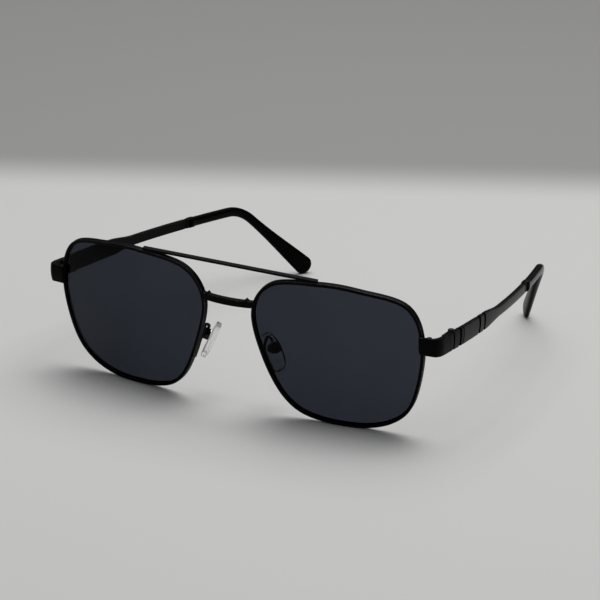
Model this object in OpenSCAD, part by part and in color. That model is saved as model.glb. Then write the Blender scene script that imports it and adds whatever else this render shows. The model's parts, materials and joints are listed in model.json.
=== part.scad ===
// Metal sunglasses with two bridges, grooved rims, folding temples and rocking nose pads.
// Millimetres. X runs across the face, the lenses look along -Y, the temples run to +Y, Z is up.
// Left and right are the wearer's: the left side is +X.

/* [Lenses] */
// Width of the lens opening
lens_w = 55; // [50:0.5:58]
// Height of the lens opening
lens_h = 47.2; // [42:0.2:50]
// Distance between the centres of the two lenses
centres = 74.4; // [72:0.2:80]
// Radius of the ball that the lens front is part of
base_r = 136; // [100:1:260]
// Thickness of the lens
lens_t = 1; // [0.8:0.1:1.4]
// Depth of the lens edge inside the rim
lens_bite = 0.5; // [0.3:0.05:0.6]
// Turn of each lens towards its temple, in degrees
wrap = 7; // [3:0.5:9]
// Forward lean of the front, in degrees
tilt = 9.4; // [6:0.2:12]

/* [Rims] */
// Width of the rim seen from the front
rim_w = 1.15; // [1.1:0.05:1.6]
// Thickness of each lip beside the lens groove
rim_lip = 0.3; // [0.25:0.05:0.5]
// Depth of the lens groove
groove_d = 0.6; // [0.55:0.05:0.8]
// Rounding of the rim's edges
rim_round = 0.2; // [0.1:0.05:0.25]
// Gap where the rim wire is cut and screwed shut
rim_cut = 0.3; // [0.2:0.05:0.5]

/* [Rim locks] */
// Height of one half of the rim lock
lock_h = 2.3; // [2:0.1:2.6]
// Width of the rim lock, outward from the rim
lock_w = 2; // [1.8:0.1:2.2]
// Depth of the rim lock, front to back
lock_d = 2; // [1.8:0.1:2.4]
// Radius of the rim lock screw
lock_screw_r = 0.55; // [0.4:0.05:0.65]

/* [Bridges] */
// Height of the lower bridge bar
bridge_h = 2.1; // [1.6:0.1:2.6]
// Depth of the lower bridge bar
bridge_d = 1.9; // [1.6:0.1:2.3]
// Height of the lower bridge above the lens centres
bridge_up = 13.5; // [11:0.2:14]
// Radius of the lower bridge's forward bow
bridge_bow = 40; // [30:1:80]
// Height of the brow bar
brow_h = 0.7; // [0.6:0.1:1.2]
// Depth of the brow bar
brow_d = 1.7; // [1.4:0.1:2]
// Length of the brow bar
brow_len = 62.4; // [56:0.2:68]

/* [End pieces] */
// Height of the end piece and of the temple's front
end_h = 6.2; // [5.8:0.1:7]
// Thickness of the end piece
end_t = 1.7; // [1.5:0.1:1.9]
// Thickness of the end piece where it covers the rim
end_lap_t = 1.1; // [0.8:0.1:1.2]
// Distance of the outer face beyond the rim's outer edge
end_reach = 5.5; // [5.2:0.1:6.4]
// Length of the end piece behind the lens edge
end_len = 10.8; // [10:0.2:12]
// Drop of the end piece from the rim to the hinge
end_sink = 0.6; // [0:0.1:1]
// Width of the rounded corner, seen from the front
end_corner_w = 2.6; // [2.4:0.1:3.4]
// Length of the rounded corner, seen from the side
end_corner_len = 4.5; // [3.8:0.1:5]

/* [Hinges] */
// Radius of the hinge knuckles
knuckle_r = 1.1; // [1:0.05:1.2]
// Radius of the hinge screw
hinge_screw_r = 0.55; // [0.4:0.05:0.65]
// Radius of the hinge screw's head
hinge_head_r = 1; // [0.8:0.05:1.1]
// Height of the three knuckles together
hinge_h = 5.2; // [4.2:0.1:5.4]
// Length of a hinge leaf
leaf_len = 4.4; // [3.4:0.2:5]
// Thickness of a hinge leaf
leaf_t = 0.8; // [0.6:0.05:0.9]

/* [Temples] */
// Distance from the hinge split to the bend behind the ear
temple_len = 90; // [84:1:100]
// Length of the broad front part
panel_len = 25; // [24.8:0.2:34]
// Thickness of the temple
temple_t = 1.7; // [1.6:0.1:1.9]
// Height of the slim arm
arm_h = 2.8; // [2.4:0.1:3.4]
// Radius of the temple's bow seen from above
bow_r = 385; // [300:5:700]
// Slope of the temple towards the ear, in degrees
arm_drop = 2.6; // [1:0.1:4]
// Width of a decorative groove
band_w = 1.1; // [0.6:0.05:1.2]
// Depth of a decorative groove
band_d = 0.55; // [0.2:0.05:0.6]

/* [Temple tips] */
// Length of the tip sleeve before the bend
sleeve_len = 20.5; // [16:0.5:26]
// Radius of the bend behind the ear
bend_r = 16; // [12:1:22]
// Angle of the tip below the level, in degrees
tip_drop = 42.5; // [34:0.5:48]
// Angle of the tip towards the head, in degrees
tip_turn = 32.5; // [24:0.5:36]
// Height of the tip at its slimmest
tip_h = 3.2; // [3:0.1:4]
// Height of the paddle at the tip's end
paddle_h = 6.6; // [5:0.1:8]
// Thickness of the tip
tip_t = 2.7; // [2.4:0.1:3.2]
// Height of the metal core inside the tip
core_h = 1.9; // [1.4:0.1:2]
// Thickness of the metal core inside the tip
core_t = 1; // [0.8:0.1:1.2]

/* [Nose pads] */
// Length of a nose pad
pad_len = 13.2; // [11:0.2:14]
// Width of a nose pad
pad_w = 7.4; // [6:0.2:8]
// Thickness of a nose pad
pad_t = 1.9; // [1.6:0.1:2.2]
// Lean of the pad's top towards the nose, in degrees
pad_lean = 25.5; // [18:0.5:30]
// Opening of the pads towards the face, in degrees
pad_splay = 27; // [18:0.5:32]
// Distance of the pad's middle behind the rim
pad_back = 6.2; // [5.6:0.1:7]
// Height of the pad's screw above its middle
pad_screw_up = 1.3; // [0:0.1:2]
// Radius of the round box that holds the pad
box_r = 1.85; // [1.6:0.05:2]
// Radius of the pad screw
pad_screw_r = 0.4; // [0.3:0.05:0.45]
// Radius of the pad arm wire
wire_r = 0.5; // [0.4:0.05:0.6]

/* [Hidden] */
// Clearances: around a screw, between pieces that rest on each other, around what swings
slip = 0.04;
seat = 0.05;
swing = 0.15;
knuckle_gap = 0.1;
split_gap = 0.2;

// Curve steps
outline_steps = 8;
ring_sides = 12;
bore_fn = 64;
ball_fn = 200;

metal = [0.07, 0.07, 0.075];
smoke = [0.13, 0.14, 0.17, 0.85];
clear = [0.85, 0.87, 0.86, 0.45];
gloss = [0.03, 0.03, 0.03];
steel = [0.25, 0.25, 0.26];

// Lens opening, as shares of half its width and height, anticlockwise from the cut at the temple
SHAPE = [
    [1.00, 0.31], [0.83, 0.81], [0.29, 0.97], [-0.19, 1.00], [-0.76, 0.90], [-1.00, 0.50],
    [-0.90, -0.11], [-0.66, -0.70], [-0.33, -0.95], [0.30, -0.99], [0.71, -0.80], [0.91, -0.40]
];
shape_n = len(SHAPE);
OUTLINE = [for (p = SHAPE) [p.x * lens_w / 2, p.y * lens_h / 2]];

// Plain vector helpers
function unit(v) = v / norm(v);
function mix(a, b, f) = a + (b - a) * f;
function clamp01(f) = max(0, min(1, f));
function bulge(c, power) = sign(c) * pow(abs(c), power);
function ease(f) = let (c = clamp01(f)) c * c * (3 - 2 * c);
function turn_x(p, a) = [p.x, p.y * cos(a) - p.z * sin(a), p.y * sin(a) + p.z * cos(a)];
function turn_y(p, a) = [p.x * cos(a) + p.z * sin(a), p.y, p.z * cos(a) - p.x * sin(a)];
function turn_z(p, a) = [p.x * cos(a) - p.y * sin(a), p.x * sin(a) + p.y * cos(a), p.z];

// Point on a smooth curve through four neighbours, f from 0 at b to 1 at c
function spline(a, b, c, d, f) =
    (2 * b + (c - a) * f + (2 * a - 5 * b + 4 * c - d) * f * f
    + (3 * b - a - 3 * c + d) * f * f * f) / 2;
// Point on the closed lens outline, s counts the shape points
function loop_at(s) =
    let (i = floor(s) + shape_n, f = s - floor(s), n = shape_n)
    spline(OUTLINE[(i - 1) % n], OUTLINE[i % n], OUTLINE[(i + 1) % n], OUTLINE[(i + 2) % n], f);
// Outward direction of the outline at s
tiny = 0.01;
function loop_out(s) = let (t = loop_at(s + tiny) - loop_at(s - tiny)) unit([t.y, -t.x]);
// Depth of the lens front behind its foremost point
function sag(p) = base_r - sqrt(base_r * base_r - p.x * p.x - p.y * p.y);
// Outline moved outward by d, as a flat polygon
function outline(d) = [
    for (k = [0 : shape_n * outline_steps - 1])
    let (s = k / outline_steps) loop_at(s) + d * loop_out(s)
];

// Rim section as [outward, backward] from the lens front at the opening's edge
edge_lean = asin(norm([lens_w, lens_h]) / 2 / base_r);
groove_front = -seat;
groove_back = lens_t / cos(edge_lean) + lens_bite * tan(edge_lean) + seat;
rim_front = groove_front - rim_lip;
rim_back = groove_back + rim_lip;
RIM_SECTION = [
    [0, rim_front + rim_round], [rim_round, rim_front], [rim_w - rim_round, rim_front],
    [rim_w, rim_front + rim_round], [rim_w, rim_back - 2 * rim_round], [rim_w - 2 * rim_round, rim_back],
    [rim_round, rim_back], [0, rim_back - rim_round], [0, groove_back], [groove_d, groove_back],
    [groove_d, groove_front], [0, groove_front]
];
// Rim point in the lens's own axes: across, backward, up
function rim_local(s, out, back) =
    let (p = loop_at(s), n = loop_out(s)) [p.x + out * n.x, sag(p) + back, p.y + out * n.y];
// From the lens's own axes to the leaning front, measured from the middle between the lenses
function lens_to_front(q) = let (w = turn_z(q, wrap)) [w.x + centres / 2, w.y, w.z];

// The front stands on the lowest point of its rims
lens_cz = -min([
    for (k = [0 : shape_n * outline_steps - 1])
    for (c = [rim_front + rim_round, rim_back - 2 * rim_round])
    turn_x(lens_to_front(rim_local(k / outline_steps, rim_w, c)), tilt).z
]);
function to_table(q) = turn_x(q, tilt) + [0, 0, lens_cz];
function rim_at(s, out, back) = to_table(lens_to_front(rim_local(s, out, back)));

// Lower bridge: the nasal side of the rim where it ends, the angle of half its bow, its middle
nasal = lens_to_front(rim_local(5, rim_w, (rim_front + rim_back) / 2));
bow_angle = asin((nasal.x + rim_w) / bridge_bow);
bridge_c = [0, nasal.y - bridge_bow * (1 - cos(bow_angle)), bridge_up];
// Middle of the brow bar, which lies on the tops of the rims between its ends
brow_top = max([for (p = outline(rim_w)) if (centres / 2 + p.x * cos(wrap) < brow_len / 2 + rim_w) p.y]);
brow_y = lens_to_front(rim_local(3, rim_w, (rim_front + rim_back) / 2)).y;
brow_c = [0, brow_y, brow_top + seat + brow_h / 2];

// End piece, laid out from the rim's outer edge at the cut
lap = rim_at(0, 0, rim_front);
edge = rim_at(0, rim_w, rim_front);
side_x = edge.x + end_reach;
split_y = edge.y + end_len;
end_z = edge.z;
split_step = 0.3;
temple_h = end_h - split_step;
band_wall = 0.08;

// Hinge pin, just inside the temple's inner face
pin_inset = 0.4;
pin_behind = 1.5;
pin_x = side_x - temple_t - pin_inset;
pin_y = split_y + pin_behind;
temple_z = end_z - end_sink;
hinge_up = 0.2;
hinge_z = temple_z + hinge_up - hinge_h / 2;
knuckle_h = hinge_h / 3;

// Temple path: bowed arm, bend and straight drop
arm_x = side_x - temple_t / 2;
bend_y = split_y + temple_len;
function arm_at(y) =
    let (d = y - split_y) [arm_x - d * d / (2 * bow_r), y, temple_z - d * tan(arm_drop)];
arm_dir = unit([-temple_len / bow_r, 1, -tan(arm_drop)]);
drop_dir = [-sin(tip_turn) * cos(tip_drop), cos(tip_turn) * cos(tip_drop), -sin(tip_drop)];
bend_angle = acos(arm_dir * drop_dir);
bend_side = unit(drop_dir - (arm_dir * drop_dir) * arm_dir);
bend_len = bend_r * bend_angle * PI / 180;
bend_from = arm_at(bend_y);
function bend_at(a) = bend_from + bend_r * (sin(a) * arm_dir + (1 - cos(a)) * bend_side);
bend_to = bend_at(bend_angle);
// Half ellipse at the paddle's end, which touches the table
cap_len = 3;
cap_z = sqrt(pow(cap_len * sin(tip_drop), 2) + pow(paddle_h / 2 * cos(tip_drop), 2));
drop_len = (bend_to.z - cap_z) / sin(tip_drop);
// Point and direction on the path, l is the distance past the start of the bend
function path_at(l) =
    l <= 0 ? arm_at(bend_y + l) :
    l < bend_len ? bend_at(bend_angle * l / bend_len) : bend_to + (l - bend_len) * drop_dir;
function path_dir(l) =
    l <= 0 ? unit([-(temple_len + l) / bow_r, 1, -tan(arm_drop)]) :
    l < bend_len ? let (a = bend_angle * l / bend_len) cos(a) * arm_dir + sin(a) * bend_side : drop_dir;
tip_end = bend_len + drop_len + cap_len;

// The origin lies below the middle of the whole part
front_most = to_table(bridge_c + [0, -bridge_d / 2, bridge_h / 3]).y;
cap_y = sqrt(pow(cap_len * drop_dir.y, 2) + pow(paddle_h / 2 * sin(tip_drop) * cos(tip_turn), 2));
rear_most = path_at(tip_end - cap_len).y + cap_y;
mid_y = (front_most + rear_most) / 2;

// Nose pad, placed from the rim's nasal side, whose place is counted in shape points
pad_s = 6.2;
pad_in = 1.6;
pad_up = 0.6;
pad_foot = rim_at(pad_s, rim_w / 2, rim_back);
pad_c = pad_foot + [-pad_in, pad_back, pad_up];
function pad_at(q) = pad_c + turn_y(turn_z(q, -pad_splay), -pad_lean);
pad_face = pad_t / 2;
box_gap = 0.45;
box_x = pad_face + box_gap;
box_len = 2;
box_base = 0.5;
tab_w = 1.2;
tab_r = 0.7;
screw_x = box_x + tab_r;
flange_r = 1.6;
flange_t = 0.45;

// Solid skin over a row of rings with equal point counts, closed at both ends
module skin(rings) {
    k = len(rings[0]);
    n = len(rings);
    sides = [
        for (i = [0 : n - 2])
        for (j = [0 : k - 1])
        let (a = i * k + j, b = i * k + (j + 1) % k)
        for (t = [[a, b, b + k], [a, b + k, a + k]]) t
    ];
    first = [[for (j = [k - 1 : -1 : 0]) j]];
    last = [[for (j = [0 : k - 1]) (n - 1) * k + j]];
    polyhedron([for (r = rings) for (p = r) p], concat(sides, first, last));
}

// Rounded section across a path: h along the path's upward side, t along its outward side
function ring(centre, dir, h, t, power) =
    let (out = unit(cross(dir, [0, 0, 1])), up = cross(out, dir))
    [
        for (j = [0 : ring_sides - 1])
        let (a = 360 * (j + 0.5) / ring_sides, c = cos(a), s = sin(a))
        centre + out * t / 2 * bulge(c, 2 / power) + up * h / 2 * bulge(s, 2 / power)
    ];

// Stand the part on its origin and make the right side the mirror of the left
module place(side) translate([0, -mid_y, 0]) mirror([side < 0 ? 1 : 0, 0, 0]) children();
// The leaning front, with its zero between the lens centres
module in_front() translate([0, 0, lens_cz]) rotate([tilt, 0, 0]) children();
// The left lens's own axes
module in_lens() in_front() translate([centres / 2, 0, 0]) rotate([0, 0, wrap]) children();
// The left nose pad's own axes: x away from the nose, y to the face, z up the pad
module in_pad() translate(pad_c) rotate([0, -pad_lean, 0]) rotate([0, 0, -pad_splay]) children();
// The same axes, moved up to the pad's screw
module in_box() in_pad() translate([0, 0, pad_screw_up]) children();
// Solid of the lens outline, grown by d, through the whole depth of the front
module outline_block(d) {
    rotate([90, 0, 0]) linear_extrude(lens_w, center = true) polygon(outline(d));
}

module rim(side) {
    gap_s = rim_cut / 2 * tiny / norm(loop_at(tiny) - loop_at(0));
    steps = shape_n * outline_steps;
    color(metal) place(side) in_lens() skin([
        for (k = [0 : steps])
        let (s = mix(shape_n - gap_s, gap_s, k / steps))
        [for (c = RIM_SECTION) rim_local(s, c.x, c.y)]
    ]);
}

module lens(side) {
    color(smoke) place(side) in_lens() intersection() {
        difference() {
            translate([0, base_r, 0]) sphere(base_r, $fn = ball_fn);
            translate([0, base_r, 0]) sphere(base_r - lens_t, $fn = ball_fn);
        }
        outline_block(lens_bite);
    }
}

// Bar section with its four edges cut back by c
function bar(w, h, c) = [
    [c - w / 2, -h / 2], [w / 2 - c, -h / 2], [w / 2, c - h / 2], [w / 2, h / 2 - c],
    [w / 2 - c, h / 2], [c - w / 2, h / 2], [-w / 2, h / 2 - c], [-w / 2, c - h / 2]
];

// Lower bridge: a bar bowed forward, its ends cut to the rims, with a small peak at each end
module bridge() {
    peak = 0.9;
    peak_in = 1.5;
    color(metal) place(1) in_front() difference() {
        union() {
            translate(bridge_c + [0, bridge_bow, 0]) rotate([0, 0, 270 - bow_angle])
                rotate_extrude(angle = 2 * bow_angle, $fn = ball_fn)
                translate([bridge_bow, 0]) polygon(bar(bridge_d, bridge_h, bridge_d / 6));
            for (m = [-1, 1])
                translate([m * (nasal.x - peak_in), nasal.y + bridge_d / 4, bridge_up + bridge_h / 2])
                rotate([90, 0, 0]) linear_extrude(bridge_d / 2, center = true)
                polygon([[-peak, -bridge_d / 4], [peak, -bridge_d / 4], [m * peak / 3, peak]]);
        }
        for (m = [0, 1])
            mirror([m, 0, 0]) translate([centres / 2, 0, 0]) rotate([0, 0, wrap])
            outline_block(rim_w + seat);
    }
}

// Upper bridge: a straight flat bar lying on the rims
module brow_bar() {
    color(metal) place(1) in_front() translate(brow_c)
        rotate([90, 0, 90]) linear_extrude(brow_len, center = true)
        polygon(bar(brow_d, brow_h, brow_h / 4));
}

// The rim lock: two blocks on the cut ends of the rim, pulled together by a screw
lock_back = 0.9;
lock_edge = loop_at(0) + rim_w * loop_out(0) + [2 * seat, 0];
lock_y = sag(loop_at(0)) + rim_front + lock_back;
lock_mid = [lock_edge.x + lock_w / 2, lock_y + lock_d / 2, lock_edge.y];
module in_lock() in_lens() translate(lock_mid) children();

module rim_lock(side, up, bore) {
    color(metal) place(side) in_lock() mirror([0, 0, up ? 0 : 1]) difference() {
        translate([0, 0, rim_cut / 2]) linear_extrude(lock_h) polygon(bar(lock_w, lock_d, lock_d / 8));
        cylinder(r = bore, h = 3 * lock_h, center = true, $fn = bore_fn);
    }
}

module rim_lock_screw(side) {
    head_h = 0.3;
    slot_w = 0.3;
    top = lock_h + rim_cut / 2;
    color(steel) place(side) in_lock() difference() {
        union() {
            translate([0, 0, -top]) cylinder(r = lock_screw_r, h = 2 * top + head_h / 2, $fn = bore_fn);
            translate([0, 0, top + seat]) cylinder(r = lock_w / 2 - seat, h = head_h, $fn = bore_fn);
        }
        translate([-lock_w, -slot_w / 2, top + head_h / 2 + seat]) cube([2 * lock_w, slot_w, head_h]);
    }
}

// End piece: a plate over the rim's front that turns back along the side to the hinge
module end_piece(side) {
    gap = 0.2;
    bevel = 0.3;
    lap_y = lap.y - gap - end_lap_t;
    turn_from = atan(tan(wrap) * end_corner_w / end_corner_len);
    corner_lean = 0.6;
    thicken = 0.3;
    corner_x = side_x - end_corner_w;
    turn_x = corner_x + end_corner_w * sin(turn_from);
    turn_y = lap_y + (turn_x - lap.x) * tan(wrap);
    centre = [corner_x, turn_y + end_corner_len * cos(turn_from)];
    corner_steps = 10;
    // The last bit before the split is cut back, like the grooves of the temple
    end_y = split_y - split_gap / 2;
    lip_y = end_y - band_w / 2;
    // Each station: outer point, outward direction, thickness, height, share of the front's lean
    stations = concat(
        [[[lap.x, lap_y], [sin(wrap), -cos(wrap)], end_lap_t, end_h, 1]],
        [
            for (k = [0 : corner_steps])
            let (
                f = mix(turn_from, 90, k / corner_steps),
                t = mix(end_lap_t, end_t, ease(k / corner_steps / thicken)),
                n = unit([end_corner_len * sin(f), -end_corner_w * cos(f)])
            )
            [
                centre + [end_corner_w * sin(f), -end_corner_len * cos(f)], n, t, end_h,
                mix(1, corner_lean, k / corner_steps)
            ]
        ],
        [
            [[side_x, lip_y - band_wall], [1, 0], end_t, temple_h, 0],
            for (y = [lip_y, end_y])
            [[side_x - band_d, y], [1, 0], end_t - band_d, temple_h - band_d, 0]
        ]
    );
    color(metal) place(side) skin([
        for (s = stations)
        let (p = s[0], n = s[1], t = s[2], h = s[3] / 2, z = end_z - end_sink * (1 - s[4]))
        [
            for (c = [[-t, -h], [-bevel, -h], [0, bevel - h], [0, h - bevel], [-bevel, h], [-t, h]])
            [p.x + n.x * c.x, p.y + n.y * c.x - c.y * tan(tilt) * s[4], z + c.y]
        ]
    ]);
}

// Hinge knuckle number i of three, counted from below
module knuckle(i, trim) {
    translate([pin_x, pin_y, hinge_z + i * knuckle_h + trim])
        cylinder(r = knuckle_r, h = knuckle_h - 2 * trim, $fn = bore_fn);
}
module pin_bore(r) translate([pin_x, pin_y, 0]) cylinder(r = r, h = 3 * end_z, $fn = bore_fn);
leaf_x = side_x - end_t - seat - leaf_t;

// Leaf on the end piece with the upper and the lower knuckle
module front_hinge(side) {
    leaf_end = split_y - split_gap / 2;
    color(metal) place(side) difference() {
        union() {
            for (i = [0, 2]) {
                knuckle(i, 0);
                translate([leaf_x, leaf_end - leaf_t, hinge_z + i * knuckle_h])
                    cube([leaf_t - swing, pin_y - leaf_end + leaf_t, knuckle_h]);
            }
            translate([leaf_x, leaf_end - leaf_len, hinge_z]) cube([leaf_t, leaf_len, hinge_h]);
        }
        pin_bore(hinge_screw_r + slip);
    }
}

// Leaf on the temple with the middle knuckle
module temple_hinge(side) {
    leaf_from = pin_y + knuckle_r + swing;
    inner_x = arm_at(leaf_from + leaf_len).x - temple_t / 2 - seat - leaf_t;
    color(metal) place(side) difference() {
        union() {
            knuckle(1, knuckle_gap);
            translate([inner_x, pin_y, hinge_z + knuckle_h + knuckle_gap])
                cube([leaf_t, leaf_from - pin_y + leaf_t, knuckle_h - 2 * knuckle_gap]);
            translate([inner_x, leaf_from, hinge_z + knuckle_h / 2])
                cube([leaf_t, leaf_len, 2 * knuckle_h]);
        }
        pin_bore(hinge_screw_r + slip);
    }
}

module hinge_screw(side) {
    head_h = 0.55;
    slot_w = 0.35;
    color(steel) place(side) translate([pin_x, pin_y, hinge_z]) difference() {
        union() {
            cylinder(r = hinge_screw_r, h = hinge_h + head_h / 2, $fn = bore_fn);
            translate([0, 0, hinge_h + seat]) cylinder(r = hinge_head_r, h = head_h, $fn = bore_fn);
        }
        translate([-hinge_head_r * 2, -slot_w / 2, hinge_h + seat + head_h / 2])
            cube([hinge_head_r * 4, slot_w, head_h]);
    }
}

// Places of the decorative grooves behind the hinge split, each with its share of the groove width
BANDS = [[4.6, 1], [7, 0.5], [19.9, 1], [24.2, 1]];
taper_len = 14;
panel_drop = 0.4;
panel_h = temple_h - panel_drop;
// Height of the temple at distance d behind the split
function temple_height(d) =
    d < panel_len ? mix(temple_h, panel_h, d / panel_len) :
    mix(panel_h, arm_h, ease((d - panel_len) / taper_len));
square_edge = 9;
round_edge = 2.8;
core_end = bend_len + drop_len - paddle_h;
// Temple section at distance d behind the split, cut back by c on its outer side, top and bottom
function temple_ring(d, c) =
    let (l = d - temple_len, dir = path_dir(l), out = unit(cross(dir, [0, 0, 1])))
    ring(path_at(l) - out * c / 2, dir, temple_height(d) - c, temple_t - c, square_edge);
// Sections of a groove at distance d behind the split, with its share of the groove width
tail_band = 1.5;
function band_rings(d, share) =
    let (w = band_w * share / 2)
    [
        for (e = [[-w, 0], [band_wall - w, band_d], [w - band_wall, band_d], [w, 0]])
        temple_ring(d + e[0], e[1])
    ];
function core_ring(l, room) =
    ring(path_at(l), path_dir(l), core_h + 2 * room, core_t + 2 * room, square_edge);

// Temple: panelled front, taper, slim arm, and the core that carries the tip
module temple(side) {
    arm_from = panel_len + taper_len;
    arm_to = temple_len - sleeve_len - seat;
    core_steps = 14;
    rings = concat(
        [ring(arm_at(split_y + split_gap / 2), [0, 1, 0], temple_h, temple_t, square_edge)],
        [for (b = BANDS) each band_rings(b[0], b[1])],
        [for (k = [0 : 7]) temple_ring(panel_len + taper_len * k / 7, 0)],
        [for (k = [1 : 3]) temple_ring(mix(arm_from, arm_to, k / 4), 0)],
        band_rings(arm_to - tail_band, 0.5),
        [temple_ring(arm_to, 0)],
        [for (k = [0 : core_steps]) core_ring(mix(-sleeve_len - seat, core_end, k / core_steps), 0)]
    );
    color(metal) place(side) difference() {
        skin(rings);
        translate([pin_x, pin_y, 0]) cylinder(r = knuckle_r + swing, h = 3 * end_z, $fn = bore_fn);
    }
}

// Tip: a moulded sleeve with a stepped collar, a bend and a paddle, hollow for the core
module temple_tip(side) {
    room = 0.08;
    thin = 0.8;
    edge_thin = 0.35;
    cap_turn = 86;
    collar_len = 2.2;
    collar_lip = 0.4;
    bore_steps = 14;
    bend_steps = 7;
    drop_steps = 5;
    cap_steps = 5;
    function tip_ring(l, h, t) = ring(path_at(l), path_dir(l), h, t, round_edge);
    cap_from = bend_len + drop_len;
    rings = concat(
        [
            for (k = [bore_steps : -1 : 0])
            core_ring(mix(-sleeve_len, core_end + room, k / bore_steps), room)
        ],
        [for (l = [0, collar_len]) tip_ring(l - sleeve_len, tip_h + collar_lip, tip_t + collar_lip)],
        [for (k = [0 : 3]) tip_ring(mix(collar_len + collar_lip - sleeve_len, -1, k / 3), tip_h, tip_t)],
        [for (k = [0 : bend_steps]) tip_ring(bend_len * k / bend_steps, tip_h, tip_t)],
        [
            for (k = [1 : drop_steps])
            let (f = k / drop_steps)
            tip_ring(
                bend_len + drop_len * f, mix(tip_h, paddle_h, f * f * (2 - f)), tip_t * mix(1, thin, f)
            )
        ],
        [
            for (k = [1 : cap_steps])
            let (a = cap_turn * k / cap_steps, t = mix(thin, edge_thin, pow(k / cap_steps, 3)))
            tip_ring(cap_from + cap_len * sin(a), paddle_h * cos(a), tip_t * t)
        ]
    );
    color(gloss) place(side) skin(rings);
}

// Pad arm: a wire soldered along the back of the rim, looped up and over to the pad's box
module pad_arm(side) {
    // Ends of the stretch along the rim, counted in shape points, and the heights of the loop
    foot_from = 6.5;
    foot_to = 6.08;
    crest_up = 1.9;
    over_up = 1.6;
    top_gap = 0.15;
    lie = rim_back + wire_r + seat;
    box_top = pad_at([box_x + box_len - wire_r * 1.6, 0, pad_screw_up + box_r + top_gap]);
    box_over = pad_at([box_x + box_len - wire_r, -wire_r, pad_screw_up + box_r + over_up]);
    lift = rim_at(foot_to - (foot_from - foot_to) / 3, rim_w / 2, lie + wire_r);
    crest = mix(lift, box_over, 0.45) + [0, 0, crest_up];
    foot = [for (k = [0 : 2]) rim_at(mix(foot_from, foot_to, k / 2), rim_w / 2, lie)];
    route = concat(foot, [lift, crest, box_over, box_top]);
    n = len(route);
    per = 4;
    sides = 10;
    aside = unit([0.6, -0.8, 0]);
    function at(s) =
        let (i = min(n - 2, floor(s)), f = s - i)
        spline(route[max(0, i - 1)], route[i], route[i + 1], route[min(n - 1, i + 2)], f);
    color(metal) place(side) skin([
        for (k = [0 : (n - 1) * per])
        let (
            s = k / per,
            dir = unit(at(min(n - 1, s + tiny)) - at(max(0, s - tiny))),
            u = unit(cross(dir, aside)),
            v = cross(u, dir)
        )
        [
            for (j = [0 : sides - 1])
            let (a = 360 * j / sides) at(s) + wire_r * (cos(a) * u + sin(a) * v)
        ]
    ]);
}

// Round box on the pad arm, slotted for the pad's tab
module pad_box(side) {
    color(metal) place(side) in_box() difference() {
        translate([box_x, 0, 0]) rotate([0, 90, 0]) cylinder(r = box_r, h = box_len, $fn = bore_fn);
        translate([0, -tab_w / 2 - swing, -2 * box_r])
            cube([box_x + box_len - box_base, tab_w + 2 * swing, 4 * box_r]);
        translate([screw_x, 0, 0]) rotate([90, 0, 0])
            cylinder(r = pad_screw_r + slip, h = 4 * box_r, center = true, $fn = bore_fn);
    }
}

module pad_screw(side) {
    head_h = 0.4;
    color(steel) place(side) in_box() translate([screw_x, 0, 0]) rotate([90, 0, 0]) {
        translate([0, 0, -box_r]) cylinder(r = pad_screw_r, h = 2 * box_r + head_h / 2, $fn = bore_fn);
        translate([0, 0, box_r + seat]) cylinder(r = pad_screw_r * 1.8, h = head_h, $fn = bore_fn);
    }
}

// Tab moulded into the pad, turning on the pad screw
module pad_mount(side) {
    color(clear) place(side) in_box() difference() {
        union() {
            translate([pad_face - flange_t, 0, 0]) rotate([0, 90, 0])
                cylinder(r = flange_r, h = flange_t, $fn = bore_fn);
            translate([pad_face - flange_t / 2, -tab_w / 2, -tab_r])
                cube([screw_x - pad_face + flange_t / 2, tab_w, 2 * tab_r]);
            translate([screw_x, 0, 0]) rotate([90, 0, 0])
                cylinder(r = tab_r, h = tab_w, center = true, $fn = bore_fn);
        }
        translate([screw_x, 0, 0]) rotate([90, 0, 0])
            cylinder(r = pad_screw_r + slip, h = 4 * box_r, center = true, $fn = bore_fn);
    }
}

// Nose pad: a drop-shaped cushion, wider below, flat towards its tab
module nose_pad(side) {
    stations = 12;
    sides = 16;
    reach = 82;
    taper = 0.14;
    rim_t = 0.5;
    round = 0.55;
    color(clear) place(side) in_pad() difference() {
        skin([
            for (k = [0 : stations])
            let (
                a = mix(reach, -reach, k / stations),
                w = pad_w * pow(cos(a), 0.8) * (1 - taper * sin(a)),
                t = pad_t * mix(rim_t, 1, pow(cos(a), round))
            )
            [
                for (j = [0 : sides - 1])
                let (b = 360 * (j + 0.5) / sides, c = cos(b), s = sin(b))
                [
                    (pad_t - t) / 2 + t / 2 * bulge(c, round),
                    w / 2 * bulge(s, round),
                    pad_len / 2 * sin(a) / sin(reach)
                ]
            ]
        ]);
        translate([pad_face - flange_t - seat, 0, pad_screw_up]) rotate([0, 90, 0])
            cylinder(r = flange_r + seat, h = pad_t, $fn = bore_fn);
    }
}

rim(1);  // rim_left
rim(-1);  // rim_right
lens(1);  // lens_left
lens(-1);  // lens_right
bridge();
brow_bar();
rim_lock(1, true, lock_screw_r + seat);  // rim_lock_upper_left
rim_lock(-1, true, lock_screw_r + seat);  // rim_lock_upper_right
rim_lock(1, false, lock_screw_r + slip);  // rim_lock_lower_left
rim_lock(-1, false, lock_screw_r + slip);  // rim_lock_lower_right
rim_lock_screw(1);  // rim_lock_screw_left
rim_lock_screw(-1);  // rim_lock_screw_right
end_piece(1);  // end_piece_left
end_piece(-1);  // end_piece_right
front_hinge(1);  // front_hinge_left
front_hinge(-1);  // front_hinge_right
hinge_screw(1);  // hinge_screw_left
hinge_screw(-1);  // hinge_screw_right
temple_hinge(1);  // temple_hinge_left
temple_hinge(-1);  // temple_hinge_right
temple(1);  // temple_left
temple(-1);  // temple_right
temple_tip(1);  // temple_tip_left
temple_tip(-1);  // temple_tip_right
pad_arm(1);  // pad_arm_left
pad_arm(-1);  // pad_arm_right
pad_box(1);  // pad_box_left
pad_box(-1);  // pad_box_right
pad_screw(1);  // pad_screw_left
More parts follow.
